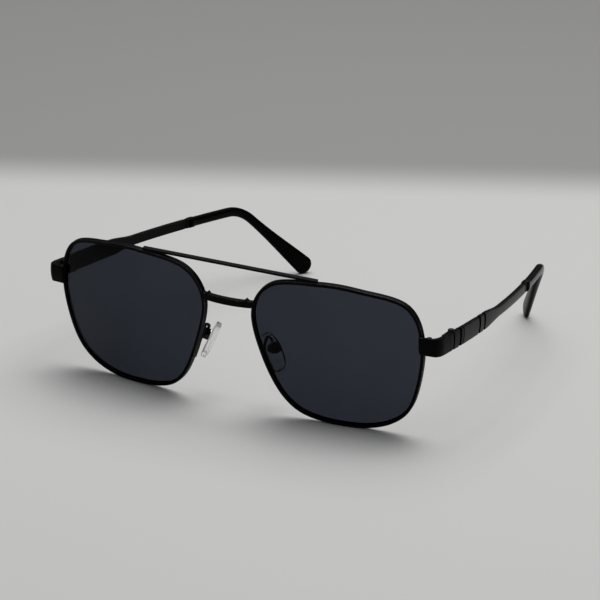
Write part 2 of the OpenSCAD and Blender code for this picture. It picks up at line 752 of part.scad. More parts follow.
pad_screw(-1);  // pad_screw_right
pad_mount(1);  // pad_mount_left
pad_mount(-1);  // pad_mount_right
nose_pad(1);  // nose_pad_left
nose_pad(-1);  // nose_pad_right
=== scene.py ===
# %% [markdown]
# # Black metal sunglasses, dressed for a studio picture
# The CAD frame gives every piece its place and its motion. This lesson puts smooth,
# finely divided surfaces over the plain solids, gives each one a procedural finish,
# and then lights and photographs the whole. Sizes are in millimetres until a mesh is
# made, because that is how a frame maker would write them.

import json

import bpy
import numpy as np
from mathutils import Matrix


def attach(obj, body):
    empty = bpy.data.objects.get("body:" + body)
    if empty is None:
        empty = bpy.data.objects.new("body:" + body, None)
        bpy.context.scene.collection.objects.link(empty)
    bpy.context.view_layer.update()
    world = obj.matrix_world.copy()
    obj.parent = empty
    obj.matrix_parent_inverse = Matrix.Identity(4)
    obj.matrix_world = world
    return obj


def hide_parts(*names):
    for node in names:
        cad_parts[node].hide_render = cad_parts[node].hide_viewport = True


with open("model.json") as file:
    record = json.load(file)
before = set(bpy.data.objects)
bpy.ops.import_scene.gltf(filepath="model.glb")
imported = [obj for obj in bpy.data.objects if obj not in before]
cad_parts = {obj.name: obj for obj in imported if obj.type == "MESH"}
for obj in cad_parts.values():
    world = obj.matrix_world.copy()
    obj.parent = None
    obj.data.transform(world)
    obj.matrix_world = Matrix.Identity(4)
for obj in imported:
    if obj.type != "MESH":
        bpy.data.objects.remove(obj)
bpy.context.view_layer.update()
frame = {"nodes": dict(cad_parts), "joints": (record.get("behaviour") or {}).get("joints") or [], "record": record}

# %% [markdown]
# ## Driving sizes
# A frame is described by few numbers: the lens opening, the distance between the lens
# centres, the wire of the rim, and so on. The same values shaped the solids, so the
# surfaces made from them land on the same places. The outline of the lens is twelve
# points, as shares of its half width and half height, that start at the temple and run
# over the brow to the nose and back below.

# %% Driving sizes in millimetres and degrees
LENS_W, LENS_H, CENTRES = 55.0, 47.2, 74.4
BALL_R, LENS_T, LENS_BITE = 136.0, 1.0, 0.5
WRAP, TILT = np.radians(7.0), np.radians(9.4)
RIM_W, RIM_LIP, SEAT = 1.15, 0.3, 0.05
SHAPE = np.array([
    [1.00, 0.31], [0.83, 0.81], [0.29, 0.97], [-0.19, 1.00], [-0.76, 0.90], [-1.00, 0.50],
    [-0.90, -0.11], [-0.66, -0.70], [-0.33, -0.95], [0.30, -0.99], [0.71, -0.80], [0.91, -0.40],
])
OUTLINE = SHAPE * [LENS_W / 2, LENS_H / 2]
SIDES = {"left": 1.0, "right": -1.0}
print("lens opening:", LENS_W, "by", LENS_H, "mm, through", len(SHAPE), "points")

# %% [markdown]
# ## Curves and turns
# The lens outline is a closed curve through its points. A Catmull-Rom curve passes
# through its points, so the points can be read straight off a lens blank. All helpers
# take whole arrays: one call gives every point of a surface.


# %% Curves and turns
def through(points, s, closed):
    """Catmull-Rom curve: at s = i + f the point is the cubic in f whose ends are points
    i and i + 1 and whose end slopes are half the step between the neighbours."""
    n = len(points)
    i = np.floor(s).astype(int)
    i = i if closed else np.clip(i, 0, n - 2)
    f = (s - i)[..., None]
    near = [i + k for k in (-1, 0, 1, 2)]
    a, b, c, d = (points[k % n if closed else np.clip(k, 0, n - 1)] for k in near)
    square, cube = 2 * a - 5 * b + 4 * c - d, 3 * b - a - 3 * c + d
    return (2 * b + (c - a) * f + square * f**2 + cube * f**3) / 2


def unit(v):
    """Each vector divided by its length."""
    return v / np.linalg.norm(v, axis=-1, keepdims=True)


def turn(p, axis, angle):
    """Right-hand turn about one axis: the two other coordinates mix by cosine and sine."""
    u, v = [(1, 2), (2, 0), (0, 1)][axis]
    q = np.array(p, float)
    q[..., u] = p[..., u] * np.cos(angle) - p[..., v] * np.sin(angle)
    q[..., v] = p[..., u] * np.sin(angle) + p[..., v] * np.cos(angle)
    return q


def smooth(f):
    """Ease from 0 to 1 with level ends: 3 f squared minus 2 f cubed."""
    f = np.clip(f, 0, 1)
    return f * f * (3 - 2 * f)


def loop_at(s):
    """Point of the lens outline; s counts its points and comes round again."""
    return through(OUTLINE, s, True)


def loop_out(s, d=0.01):
    """Outward direction of the outline: its tangent turned by a right angle."""
    t = unit(loop_at(s + d) - loop_at(s - d))
    return np.stack([t[..., 1], -t[..., 0]], -1)


def sag(p, inward=0.0):
    """Depth behind the foremost point of the lens: the ball's radius minus the root of the
    squared radius of the shell, which lies that far inward, less the squared distance."""
    return BALL_R - np.sqrt((BALL_R - inward) ** 2 - (p**2).sum(-1))


edge_lean = np.arcsin(np.hypot(LENS_W, LENS_H) / 2 / BALL_R)
groove_back = LENS_T / np.cos(edge_lean) + LENS_BITE * np.tan(edge_lean) + SEAT
rim_front = -SEAT - RIM_LIP
rim_back = groove_back + RIM_LIP
mid_depth = (rim_front + rim_back) / 2
print("rim depth:", round(rim_back - rim_front, 3), "mm")

# %% [markdown]
# ## From the lens to the table
# Each lens turns a little towards its temple and the whole front leans, so there are
# three sets of axes. The front stands on the lowest point of its rims, a little inside
# their rounded corners. The shift along Y comes from the frame itself: the hinge screw
# is at the joint that the frame names.

# %% From the lens to the table
FOOT_FRONT, FOOT_BACK = 0.2, 0.4
lens_z = 0.0


def rim_local(s, out, back):
    """Point beside the outline in the lens's own axes, across, backward and up: the outline
    plus out times its outward direction, at the depth of the lens plus back."""
    p = loop_at(s)
    q = p + loop_out(s) * np.asarray(out)[..., None]
    return np.stack([q[..., 0], sag(p) + back, q[..., 1]], -1)


def lens_to_front(q):
    """Turn by the wrap and move out to the centre of the lens."""
    return turn(q, 2, WRAP) + [CENTRES / 2, 0, 0]


def to_table(q):
    """Lean back by the tilt and lift to the height of the lens centre."""
    return turn(q, 0, TILT) + [0, 0, lens_z]


def lens_to_table(q):
    """Both turns at once: from the lens's own axes to the table."""
    return to_table(lens_to_front(q))


def rim_at(s, out, back):
    """One point of the rim on the table, by its place on the outline."""
    return lens_to_table(rim_local(np.array(float(s)), out, back))


once_round = np.arange(0, len(SHAPE), 0.125)
foot_depths = (rim_front + FOOT_FRONT, rim_back - FOOT_BACK)
lens_z = -min(lens_to_table(rim_local(once_round, RIM_W, b))[:, 2].min() for b in foot_depths)
print("lens centre height:", round(lens_z, 3), "mm")

# %% Where the temple starts
END_REACH, END_LEN, END_SINK, END_H, END_T, END_LAP_T = 5.5, 10.8, 0.6, 6.2, 1.7, 1.1
PIN_INSET, PIN_BEHIND = 0.4, 1.5
lap, edge = rim_at(0, 0, rim_front), rim_at(0, RIM_W, rim_front)
side_x, split_y, end_z = edge[0] + END_REACH, edge[1] + END_LEN, edge[2]
temple_z = end_z - END_SINK
pin = np.array([side_x - END_T - PIN_INSET, split_y + PIN_BEHIND])
fold = next(j for j in frame["joints"] if j["name"] == "left_temple_fold")
SHIFT = np.array([fold["pos_m"][0] * 1000 - pin[0], fold["pos_m"][1] * 1000 - pin[1], 0])
print("shift to the frame:", SHIFT.round(3), "mm")

# %% [markdown]
# ## Making a mesh from a grid
# Nearly every piece here is a row of rings: the same section, carried along a path.
# Four neighbours in the grid make one face, and a closed ring caps each end. The
# signed volume says whether the faces look outward, so mirrored pieces come out right
# without any special case. Vertices can carry marks, numbers that the finish reads by
# name: edge on rounded corners, where a coat wears first, groove in a cut, which it
# makes a deeper, dull black, polish on faces that were buffed, and rim on the outline of
# a pad, where shade is painted in.


# %% Making a mesh from a grid
def grid_faces(n, k):
    """Faces between n rings of k points, each ring closed on itself."""
    i, j = np.meshgrid(np.arange(n - 1), np.arange(k), indexing="ij")
    a, b = i * k + j, i * k + (j + 1) % k
    return np.stack([a, b, b + k, a + k], -1).reshape(-1, 4)


def signed_volume(v, faces):
    """Sum over triangles of the box product of their corners, divided by six."""
    a, b, c, d = (v[faces[:, i]] for i in range(4))
    return (a * (np.cross(b, c) + np.cross(c, d))).sum() / 6


def make_piece(name, node, body, slot, rings, sign=1.0, **marks):
    """One closed skin over rings of shape (n, k, 3), in millimetres, put into the frame with
    the finish of its slot. Each mark is a number per point, kept under its name."""
    n, k = rings.shape[:2]
    v = (rings.reshape(-1, 3) + SHIFT) * [sign, 1, 1] / 1000
    quads = grid_faces(n, k)
    caps = [np.arange(k)[::-1], np.arange(k) + (n - 1) * k]
    if signed_volume(v - v.mean(0), quads) < 0:
        quads, caps = quads[:, ::-1], [c[::-1] for c in caps]
    mesh = bpy.data.meshes.new(name)
    mesh.from_pydata(v.tolist(), [], quads.tolist() + [c.tolist() for c in caps])
    mesh.polygons.foreach_set("use_smooth", np.r_[np.ones(len(quads), bool), np.zeros(2, bool)])
    for label, value in marks.items():
        mark = mesh.attributes.new(label, "FLOAT", "POINT")
        mark.data.foreach_set("value", np.broadcast_to(value, (n, k)).astype(np.float32).ravel())
    mesh.update()
    piece = bpy.data.objects.new(name, mesh)
    bpy.context.scene.collection.objects.link(piece)
    piece.data.materials.append(FINISHES[slot])
    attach(piece, body)
    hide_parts(node)
    print(name, "has", n, "rings of", k, "points")
    return piece


def make_pair(name, node, body, slot, rings, **marks):
    """The same piece on the left and mirrored on the right, each with its side in its names;
    the front is one body for both."""
    return [make_piece(f"{name}_{side}", f"{node}_{side}", body if body == "front" else f"{body}_{side}",
                       slot, rings, sign, **marks) for side, sign in SIDES.items()]


print("faces round a four-sided bar:", len(grid_faces(2, 4)))

# %% [markdown]
# ## Sections
# Real strip metal has no knife edges: its corners are rolled round. A rounded bar is
# four quarter circles joined by flats. A point close to each end of a quarter circle
# keeps the flats flat when the shading is smoothed, and a row of points on the outer
# face lets that face bulge into a crown. Moulded plastic is softer, and a superellipse
# suits it: one number moves it from an ellipse to a box.

# %% Sections
FLAT_HOLD = 0.12


def rounded_bar(w, h, r, crown=0.0, steps=5):
    """Offsets (..., k, 2) of a w by h rectangle with corners of radius r, and the edge
    mark of each point. w, h and crown may be arrays, one value a ring. The crown lets the
    outer face fall back towards its edges, by the square of the height."""
    a = np.linspace(0, np.pi / 2, steps)
    hold = FLAT_HOLD * r
    corner = np.stack([np.r_[r, r * np.cos(a), -hold], np.r_[-hold, r * np.sin(a), r]], -1)
    w, h = np.asarray(w, float)[..., None], np.asarray(h, float)[..., None]
    half = np.stack([w / 2 - r, h / 2 - r], -1)
    quarters = [(half + c) * [x, z] for x, z, c in
                ((1, 1, corner), (-1, 1, corner[::-1]), (-1, -1, corner), (1, -1, corner[::-1]))]
    face = np.linspace(-1, 1, 9)[1:-1]
    outer = np.stack([w / 2 + 0 * face, (h / 2 - r) * face], -1)
    bar = np.concatenate(quarters + [outer], -2)
    bulge = np.asarray(crown, float)[..., None] * (2 * bar[..., 1] / h) ** 2
    bar[..., 0] -= np.where(bar[..., 0] > 0, bulge, 0)
    return bar, np.r_[np.tile(np.r_[0, np.sin(2 * a), 0], 4), np.zeros(len(face))]


def superellipse(w, h, power, k):
    """Offsets (..., k, 2): half width times the signed 2/power power of the cosine, and
    half height times that of the sine."""
    a = 2 * np.pi * (np.arange(k) + 0.5) / k
    bulge = [np.sign(t) * np.abs(t) ** (2 / power) for t in (np.cos(a), np.sin(a))]
    w, h = np.asarray(w, float)[..., None], np.asarray(h, float)[..., None]
    return np.stack([w / 2 * bulge[0], h / 2 * bulge[1]], -1)


def circle(k):
    """Offsets (k, 2) of a circle of radius 1: the cosine and the sine of even steps."""
    a = np.linspace(0, 2 * np.pi, k + 1)[:-1]
    return np.stack([np.cos(a), np.sin(a)], -1)


def carry(points, across, up, section):
    """Section carried along a path: path point plus across and up times the offsets."""
    return points[:, None] + across[:, None] * section[..., :1] + up[:, None] * section[..., 1:]


print("bar section points:", rounded_bar(1.0, 1.0, 0.1)[0].shape[0])

# %% [markdown]
# ## Shader maths as plain sums
# A finish is easier to read as a formula than as a drawing of wires. The small class
# below wraps a socket, so that 1 - mask or noise * 0.2 adds its Math node by itself.
# Any other node comes from one method, which takes the node's type, its settings and
# what its sockets get.


# %% Shader maths as plain sums
class Sock:
    """An output socket that can be used in sums."""

    def __init__(self, wiring, socket):
        self.wiring, self.socket = wiring, socket

    def _math(self, operation, a, b):
        """A Math node on two values, as a new wrapped socket."""
        return self.wiring.node("ShaderNodeMath", {"operation": operation}, {0: a, 1: b})

    def __add__(self, other):
        return self._math("ADD", self, other)

    def __sub__(self, other):
        return self._math("SUBTRACT", self, other)

    def __mul__(self, other):
        return self._math("MULTIPLY", self, other)

    def __rsub__(self, other):
        return self._math("SUBTRACT", other, self)

    __radd__, __rmul__ = __add__, __mul__


class Wiring:
    """A node tree that is filled by formulas."""

    def __init__(self, tree):
        self.tree = tree

    def put(self, target, value):
        """Link a wrapped socket to the target, or set a plain value on it."""
        if isinstance(value, Sock):
            self.tree.links.new(value.socket, target)
        else:
            target.default_value = value

    def node(self, kind, settings=None, sockets=None, out=0):
        """Any node: its type, its settings, what its sockets get, and the output wanted."""
        made = self.tree.nodes.new(kind)
        for key, value in (settings or {}).items():
            setattr(made, key, value)
        for key, value in (sockets or {}).items():
            self.put(made.inputs[key], value)
        return Sock(self, made.outputs[out])

    def mix(self, factor, a, b):
        """Colour a where the factor is 0, colour b where it is 1."""
        return self.node("ShaderNodeMix", {"data_type": "RGBA"}, {0: factor, 6: a, 7: b}, out=2)


class Finish(Wiring):
    """A procedural material around one Principled shader with constants on its sockets."""

    def __init__(self, name, **constants):
        self.material = bpy.data.materials.new(name)
        self.material.use_nodes = True
        super().__init__(self.material.node_tree)
        self.shader = self.tree.nodes["Principled BSDF"]
        self.feed(**constants)

    def feed(self, **sockets):
        """Give the shader's sockets a value or a formula; _ stands for a space."""
        for key, value in sockets.items():
            self.put(self.shader.inputs[key.replace("_", " ")], value)

    def place(self):
        """Object coordinates, in metres."""
        return self.node("ShaderNodeTexCoord", out=3)

    def noise(self, scale, detail=3.0):
        """Cloudy noise of about that many cells per metre, from 0 to 1 around a half."""
        return self.node("ShaderNodeTexNoise", None, {
            "Vector": self.place(), "Scale": scale, "Detail": detail, "Roughness": 0.55})

    def mark(self, name):
        """The number that a mesh carries at its points under that name, 0 where it has none."""
        return self.node("ShaderNodeAttribute", {"attribute_name": name}, out=2)

    def slant(self):
        """0 where the surface is seen straight on, 1 where it is seen edge on."""
        return self.node("ShaderNodeLayerWeight", None, {"Blend": 0.5}, out=1)

    def band(self, value, low, high):
        """0 below low, 1 above high, eased between."""
        return self.node("ShaderNodeMapRange", {"interpolation_type": "SMOOTHSTEP"},
                         {"Value": value, "From Min": low, "From Max": high})

    def bump(self, height, strength, distance):
        """A normal that leans with the slope of the height; the distance is in metres."""
        return self.node("ShaderNodeBump", None,
                         {"Height": height, "Strength": strength, "Distance": distance})


def grey(v, blue=1.0):
    """A colour with the same red and green, and that share of it in blue."""
    return (v, v, v * blue, 1.0)


print("finish helpers:", [name for name in vars(Finish) if not name.startswith("_")])

# %% [markdown]
# ## Satin black coating
# Thin metal is sprayed or plated black. Close up the coat is finely grained, a little
# uneven in gloss, and thin on the corners, where tiny light specks of metal show. The
# grain is a fine noise in the bump, and the specks are a second noise kept to the edge
# mark of the mesh. One finish serves all the black metal, because its marks tell where
# a groove is made a deeper, dull black and where the coat was buffed. The buffing is a
# clear coat over a dull base, so a polished face catches the light and the rest stays black.

# %% Satin black coating
JET, SOOT, GROOVE_BLACK = grey(0.0005, 1.06), grey(0.0014, 1.06), grey(0.0002)
BARE_METAL = (0.2, 0.19, 0.165, 1)
GRAIN, CLOUDS, SPECKS = 9000, 160, 2900


def satin_black():
    """Colour: clouds of two blacks, then a deeper black by the groove mark, then metal where a
    noise and the edge mark are both high. Gloss: the polish mark, a little less in a cloud."""
    f = Finish("satin_black", IOR=1.5, Specular_IOR_Level=0.04, Coat_Roughness=0.32)
    cloud = f.noise(CLOUDS)
    worn, in_groove, polish = f.mark("edge"), f.mark("groove"), f.mark("polish")
    specks = f.band(f.noise(SPECKS), 0.56, 0.68) * worn * (1 - in_groove)
    # The groove mark turns the colour a deeper black and the surface dull.
    coat = f.mix(in_groove, f.mix(cloud, JET, SOOT), GROOVE_BLACK)
    f.feed(Base_Color=f.mix(specks * 0.8, coat, BARE_METAL),
           Metallic=specks * 0.6,
           Roughness=0.34 + 0.16 * cloud - 0.1 * specks + 0.5 * in_groove,
           Coat_Weight=polish * (1 - in_groove) * (0.38 - 0.08 * cloud),
           Normal=f.bump(f.noise(GRAIN, 2), 0.12, 0.00002))
    return f.material


FINISHES = {"black_metal": satin_black()}
print("finishes:", *FINISHES)

# %% [markdown]
# ## Smoked lens
# A sunglass lens is tinted through its whole thickness and polished. Only a few
# hundredths of the light get through, a little more of the blue, so the lens is glass
# with a very dark blue-grey colour: the floor, the temple and the pad wire show through
# it faintly. Light that crosses at a slant has further to go in the tint, so the colour
# darkens towards an edge-on view. The anti-glare coat keeps reflections low, which is a
# small refraction number here.

# %% Smoked lens
SMOKE_DEEP, SMOKE_PALE = (0.0385, 0.0455, 0.0605, 1), (0.0475, 0.0545, 0.072, 1)
SMEARS, POLISH_MARKS = 70, 900


def smoked_lens():
    """Colour: two smokes by a broad noise, to black by the slant. Roughness: small shares of
    the broad noise and of a fine one."""
    f = Finish("smoked_lens", IOR=1.12, Transmission_Weight=1.0)
    smear = f.noise(SMEARS, 4)
    polish = f.band(f.noise(POLISH_MARKS), 0.45, 0.75)
    f.feed(Base_Color=f.mix(f.slant(), f.mix(smear, SMOKE_DEEP, SMOKE_PALE), grey(0.0)),
           Roughness=0.02 + 0.03 * smear + 0.02 * polish,
           Normal=f.bump(smear, 0.02, 0.0001))
    return f.material


FINISHES["smoked_lens"] = smoked_lens()
print("finishes:", *FINISHES)

# %% [markdown]
# ## Gloss black tip
# The ear tips are moulded plastic sleeves: as black as the metal, with the faint ripple
# that moulded surfaces have and fine handling marks in the gloss. The outer side is
# polished in the mould and the side that lies on the head is dull, so the clear coat
# follows the polish mark here too.

# %% Gloss black tip
TIP_JET, TIP_SOOT = grey(0.0004), grey(0.0014)
RIPPLES, HANDLING = 220, 1900


def gloss_tip():
    """Colour, roughness and clear coat all shift a little with the handling marks; the clear
    coat is kept to the polish mark and the ripple is a bump."""
    f = Finish("gloss_tip", IOR=1.49, Specular_IOR_Level=0.03, Coat_Roughness=0.2)
    marks = f.band(f.noise(HANDLING, 4), 0.5, 0.72)
    f.feed(Base_Color=f.mix(marks, TIP_JET, TIP_SOOT),
           Roughness=0.25 + 0.03 * marks,
           Coat_Weight=f.mark("polish") * (0.42 - 0.08 * marks),
           Normal=f.bump(f.noise(RIPPLES, 2), 0.08, 0.0001))
    return f.material


FINISHES["gloss_tip"] = gloss_tip()
print("finishes:", *FINISHES)

# %% [markdown]
# ## Clear pad and dark screw
# Nose pads are clear soft plastic. Part of the light is let straight through, because
# soft plastic bends it less than glass. At the rear edge and at the ends a real pad bends
# the light away from the eye; here those dark lines are painted shade: the rim mark paints
# those places dark and makes them dull and opaque. The screws are dark plated steel with
# the fine rings that turning leaves.

# %% Clear pad and dark screw
CLEAR_COOL, CLEAR_WHITE, OUTLINE_PAINTED_SHADE = (0.92, 0.93, 0.925, 1), (0.98, 0.985, 0.98, 1), grey(0.0005)
STEEL_DEEP, STEEL_PALE = grey(0.014), grey(0.035)
FROST, TURNED_RINGS, TARNISH = 900, 2500.0, 2600


def clear_pad():
    """Colour between two clears by the frost, then painted shade by the rim mark, dark where a
    real pad bends the light away; the mark also adds to the roughness and to the share of
    light that is not let straight through."""
    f = Finish("clear_pad", IOR=1.44, Specular_IOR_Level=0.2, Transmission_Weight=1.0)
    frost, rim = f.noise(FROST), f.mark("rim")
    # Painted shade: the rim mark paints the pad's outline dark, standing in for light bent away.
    f.feed(Base_Color=f.mix(rim, f.mix(frost, CLEAR_COOL, CLEAR_WHITE), OUTLINE_PAINTED_SHADE),
           Roughness=0.03 + 0.08 * frost + 0.4 * rim,
           Alpha=0.2 + 0.12 * frost + 0.7 * rim,
           Normal=f.bump(frost, 0.05, 0.00005))
    return f.material


def dark_screw():
    """Colour and roughness by the tarnish; the bump is a wave of rings about the upright."""
    f = Finish("dark_screw", Metallic=1.0)
    rings = f.node("ShaderNodeTexWave", {"wave_type": "RINGS", "rings_direction": "Z"},
                   {"Vector": f.place(), "Scale": TURNED_RINGS, "Distortion": 1.5})
    tarnish = f.noise(TARNISH)
    f.feed(Base_Color=f.mix(tarnish, STEEL_DEEP, STEEL_PALE),
           Roughness=0.3 + 0.18 * tarnish,
           Normal=f.bump(rings, 0.1, 0.00002))
    return f.material


FINISHES.update(clear_pad=clear_pad(), dark_screw=dark_screw())
print("finishes:", *FINISHES)

# %% [markdown]
# ## Finishes on the solids
# The hinge leaves, lower lock blocks, pad boxes, pad screws and pad tabs stay as the CAD
# made them. Each solid gets the finish of the slot that its record names.

# %% Finishes on the solids
for row in frame["record"]["subparts"]:
    solid = frame["nodes"][row["node"]]
    solid.data.materials.clear()
    solid.data.materials.append(FINISHES[row["material_slot"]])

# %% [markdown]
# ## Rims
# A rim is a wire drawn through a die that leaves a groove on its inner side, bent round
# the lens and cut at the temple. Here it is that section carried round the outline:
# rounded outside corners, then the lips and the groove. A bevelled curve could make it
# too, but the grid gives exact control of the groove and of the cut ends. The front
# outer corner is the one that hands and cloths rub, so it is worn and polished most.

# %% Rims
GROOVE_D, RIM_CUT, RIM_ROUND, LIP_ROUND = 0.6, 0.3, 0.26, 0.1
RIM_WEAR, RIM_POLISH, TRY_STEP = [0.4, 1.0, 0.6, 0.3], [0, 1.7, 0, 0], 0.01


def rim_section():
    """Closed section as (outward, backward): quarter circles at the front inner, front
    outer, back outer and back inner corner, then the groove. The edge and polish marks
    rise and fall over each quarter circle by its share of wear or polish."""
    a = np.linspace(0, np.pi / 2, 6)
    corners = [(LIP_ROUND, rim_front + LIP_ROUND, LIP_ROUND, np.pi),
               (RIM_W - RIM_ROUND, rim_front + RIM_ROUND, RIM_ROUND, 1.5 * np.pi),
               (RIM_W - RIM_ROUND, rim_back - RIM_ROUND, RIM_ROUND, 0),
               (LIP_ROUND, rim_back - LIP_ROUND, LIP_ROUND, 0.5 * np.pi)]
    arcs = [np.stack([x + r * np.cos(start + a), y + r * np.sin(start + a)], -1)
            for x, y, r, start in corners]
    groove = [[0, groove_back], [GROOVE_D, groove_back], [GROOVE_D, -SEAT], [0, -SEAT]]
    marks = [np.r_[np.outer(share, np.sin(2 * a)).ravel(), np.zeros(len(groove))]
             for share in (RIM_WEAR, RIM_POLISH)]
    return np.concatenate(arcs + [groove]), *marks


section, worn, polished = rim_section()
try_len = np.linalg.norm(loop_at(np.array(TRY_STEP)) - loop_at(np.array(0.0)))
gap_s = RIM_CUT / 2 * TRY_STEP / try_len
around = np.linspace(gap_s, len(SHAPE) - gap_s, 361)
rim_rings = lens_to_table(rim_local(around[:, None], section[:, 0], section[:, 1]))
make_pair("rim_wire", "rim", "front", "black_metal", rim_rings, edge=worn, polish=polished)

# %% [markdown]
# ## Lenses
# The lens is a slice of a ball shell, cut to the outline and slipped into the groove.
# Its surface is a fan of shrunken outlines: the front, the thin edge and the back are
# one grid that starts in the middle of the front and ends in the middle of the back.

# %% Lenses
LENS_HUB, LENS_CROWD, LENS_SHARP = 0.004, 1.6, np.radians(40)


def lens_rings():
    """Outline times a share for each ring, which crowd towards the edge; depth from the ball
    of the front, then from the smaller ball of the back."""
    share = np.r_[LENS_HUB, 1 - np.linspace(1, 0, 22)[1:] ** LENS_CROWD]
    s = np.linspace(0, len(SHAPE), 241)[:-1]
    flat = share[:, None, None] * (loop_at(s) + LENS_BITE * loop_out(s))
    front, back = (np.stack([flat[..., 0], sag(flat, inward), flat[..., 1]], -1)
                   for inward in (0.0, LENS_T))
    return np.concatenate([front, back[::-1]])


disc = lens_to_table(lens_rings())
for made in make_pair("lens_disc", "lens", "front", "smoked_lens", disc):
    made.data.polygons.foreach_set("use_smooth", np.ones(len(made.data.polygons), bool))
    made.data.set_sharp_from_angle(angle=LENS_SHARP)

# %% [markdown]
# ## Bridges
# The lower bridge is a bar bowed forward and coped at both ends to sit against the
# rims. Each line of its surface runs to where it meets the rim, so there is no overlap.
# A small peak stands at each end. The brow bar is a plain flat strip on top, with its
# ends rolled over and its upper face lightly polished.

# %% Lower bridge
BRIDGE_H, BRIDGE_D, BRIDGE_ROUND, BRIDGE_UP, BRIDGE_BOW = 2.3, 1.9, 0.38, 13.55, 40.0
PEAK, PEAK_IN, PEAK_POWER, PEAK_HALF = 0.9, 1.5, 1.4, 0.75
NOSE_AT, NOSE_FROM, NOSE_TO, FIRST_GUESS = 5.0, 4.0, 7.0, 0.2
nasal = lens_to_front(rim_local(np.array(NOSE_AT), RIM_W, mid_depth))
bow_centre = nasal[1] + BRIDGE_BOW * np.cos(np.arcsin((nasal[0] + RIM_W) / BRIDGE_BOW))


def rim_side(y, z):
    """X of the rim's nasal side at depth y and height z of the leaning front: the rim's
    outline read as x over height, then turned by the wrap."""
    s = np.linspace(NOSE_FROM, NOSE_TO, 200)
    p = loop_at(s) + (RIM_W + SEAT) * loop_out(s)
    x = np.interp(z, p[::-1, 1], p[::-1, 0])
    return CENTRES / 2 + x * np.cos(WRAP) - (y - x * np.sin(WRAP)) * np.tan(WRAP)


def bridge_rings():
    """Bow: at angle a the point is the radius times (sine a, minus cosine a) from the bow's
    centre; a runs to where each line meets the rim, which four better and better guesses
    find. The peak is a tent added on top."""
    bar, weight = rounded_bar(BRIDGE_D, BRIDGE_H, BRIDGE_ROUND)
    radius, z = BRIDGE_BOW + bar[:, 0], BRIDGE_UP + bar[:, 1]
    end = np.full(radius.shape, FIRST_GUESS)
    for guess in range(4):
        end = np.arcsin(rim_side(bow_centre - radius * np.cos(end), z) / radius)
    a = np.sin(np.linspace(-1, 1, 81) * np.pi / 2)[:, None] * end
    x = radius * np.sin(a)
    tent = np.clip(1 - np.abs(np.abs(x) - (nasal[0] - PEAK_IN)) / PEAK, 0, 1) ** PEAK_POWER
    on_top = np.clip(bar[:, 1] / (BRIDGE_H / 2), 0, 1) ** 6 * (np.abs(bar[:, 0]) < PEAK_HALF)
    rise = PEAK * tent * on_top
    return to_table(np.stack([x, bow_centre - radius * np.cos(a), z + rise], -1)), weight


rings, worn = bridge_rings()
make_piece("lower_bridge", "bridge", "front", "black_metal", rings, edge=worn)

# %% Brow bar
BROW_H, BROW_D, BROW_LEN, BROW_ROUND, BROW_CORNER, BROW_POLISH = 0.7, 1.7, 62.4, 0.25, 0.09, 0.25
BROW_AT, HAIR = 3.0, 0.001
ACROSS, BACK, UP = np.eye(3)
brow_rim = loop_at(once_round) + RIM_W * loop_out(once_round)
under_bar = CENTRES / 2 + brow_rim[:, 0] * np.cos(WRAP) < BROW_LEN / 2 + RIM_W
brow_z = brow_rim[under_bar, 1].max() + SEAT + BROW_H / 2
brow_y = lens_to_front(rim_local(np.array(BROW_AT), RIM_W, mid_depth))[1]


def brow_rings():
    """Rounded bar along X. At each end a quarter circle: the end falls back by 1 minus the
    cosine of its angle and the section shrinks by 1 minus the sine."""
    a = np.linspace(0, np.pi / 2, 6)
    tail, shrink = BROW_LEN / 2 - BROW_ROUND * (1 - np.cos(a)), BROW_ROUND * (1 - np.sin(a))
    middle = np.linspace(-1, 1, 30) * (BROW_LEN / 2 - BROW_ROUND - SEAT)
    x = np.r_[-tail, middle, tail[::-1]]
    inset = np.r_[shrink, np.zeros(len(middle)), shrink[::-1]]
    bar, weight = rounded_bar(BROW_D - 2 * inset, BROW_H - 2 * inset, BROW_CORNER)
    path = x[:, None] * ACROSS + brow_y * BACK + brow_z * UP
    top_face = bar[..., 1] > BROW_H / 2 - inset[:, None] - HAIR
    return to_table(carry(path, BACK[None], UP[None], bar)), weight, BROW_POLISH * top_face


rings, worn, polished = brow_rings()
make_piece("brow_strip", "brow_bar", "front", "black_metal", rings, edge=worn, polish=polished)

# %% [markdown]
# ## End pieces
# A stamped strip starts on the front of the rim, turns the corner and runs back to the
# hinge. It is drawn as a path in plan with an outward direction at each station, and a
# section whose height and thickness change on the way. The lean of the front fades out
# round the corner, because the temple stands upright. At the hinge the strip is cut back
# to a thin lip that the groove mark makes a deeper, dull black, which draws the dark line
# over the hinge split. The outer face is crowned by a share of its height.

# %% The corner of an end piece
END_GAP, CORNER_W, CORNER_LEN = 0.2, 2.6, 4.5
turn_from = np.arctan(np.tan(WRAP) * CORNER_W / CORNER_LEN)
lap_y = lap[1] - END_GAP - END_LAP_T
turn_x = side_x - CORNER_W * (1 - np.sin(turn_from))
turn_y = lap_y + (turn_x - lap[0]) * np.tan(WRAP)
corner = np.array([side_x - CORNER_W, turn_y + CORNER_LEN * np.cos(turn_from)])
print("corner centre in plan:", corner.round(2))

# %% End pieces
SPLIT_GAP, SPLIT_STEP, CROWN, END_CORNER = 0.2, 0.3, 0.05, 0.3
GROOVE_W, GROOVE_DEPTH, GROOVE_WALL = 1.4, 0.55, 0.06
LEAD_POWER, LEAD_REACH, THICKEN_BY, BEND_LEAN = 0.8, 0.98, 0.3, 0.6
FILED = np.array([0.12, 0.03, 0.02, 0.08]) / 3


